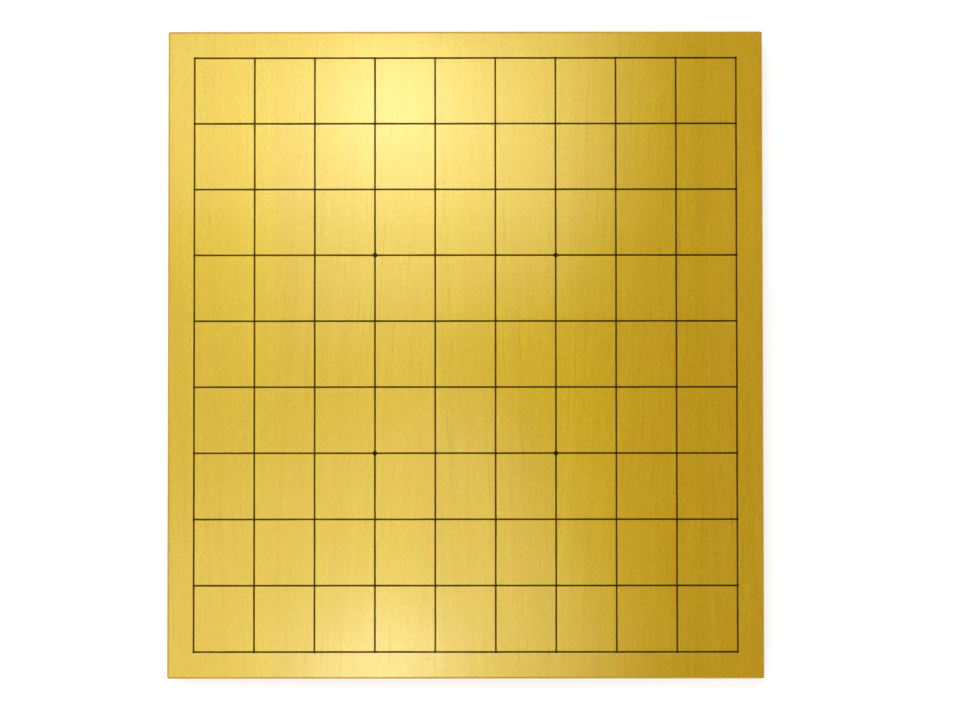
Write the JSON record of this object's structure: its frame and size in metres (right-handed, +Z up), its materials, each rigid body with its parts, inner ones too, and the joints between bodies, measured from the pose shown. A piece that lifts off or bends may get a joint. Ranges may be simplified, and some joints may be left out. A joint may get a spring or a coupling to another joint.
{
  "type": "shogi board",
  "caption": "Tabletop shogi board: edge-glued wooden planks with a raised lacquer grid of squares and star points, lying flat on its underside.",
  "frame": {"origin": "centre of the underside, which lies on the table", "axes": "+Z up through the playing face; +Y along the files, the board's longer side, away from the player; +X along the ranks to the player's right"},
  "size_m": [0.333, 0.362, 0.0303],
  "materials": {
    "plank_wood": "satin clear lacquer over quarter-sawn softwood",
    "wood_glue": "dried wood glue, planed flush",
    "line_lacquer": "black lacquer, glossy"
  },
  "bodies": {
    "root": {"plank_1": "plank_wood", "plank_2": "plank_wood", "plank_3": "plank_wood", "plank_4": "plank_wood", "plank_5": "plank_wood", "glue_line_1": "wood_glue", "glue_line_2": "wood_glue", "glue_line_3": "wood_glue", "glue_line_4": "wood_glue", "file_line_1": "line_lacquer", "file_line_2": "line_lacquer", "file_line_3": "line_lacquer", "file_line_4": "line_lacquer", "file_line_5": "line_lacquer", "file_line_6": "line_lacquer", "file_line_7": "line_lacquer", "file_line_8": "line_lacquer", "file_line_9": "line_lacquer", "file_line_10": "line_lacquer", "rank_line_1": "line_lacquer", "rank_line_2": "line_lacquer", "rank_line_3": "line_lacquer", "rank_line_4": "line_lacquer", "rank_line_5": "line_lacquer", "rank_line_6": "line_lacquer", "rank_line_7": "line_lacquer", "rank_line_8": "line_lacquer", "rank_line_9": "line_lacquer", "rank_line_10": "line_lacquer", "star_point_1": "line_lacquer", "star_point_2": "line_lacquer", "star_point_3": "line_lacquer", "star_point_4": "line_lacquer"}
  },
  "joints": []
}
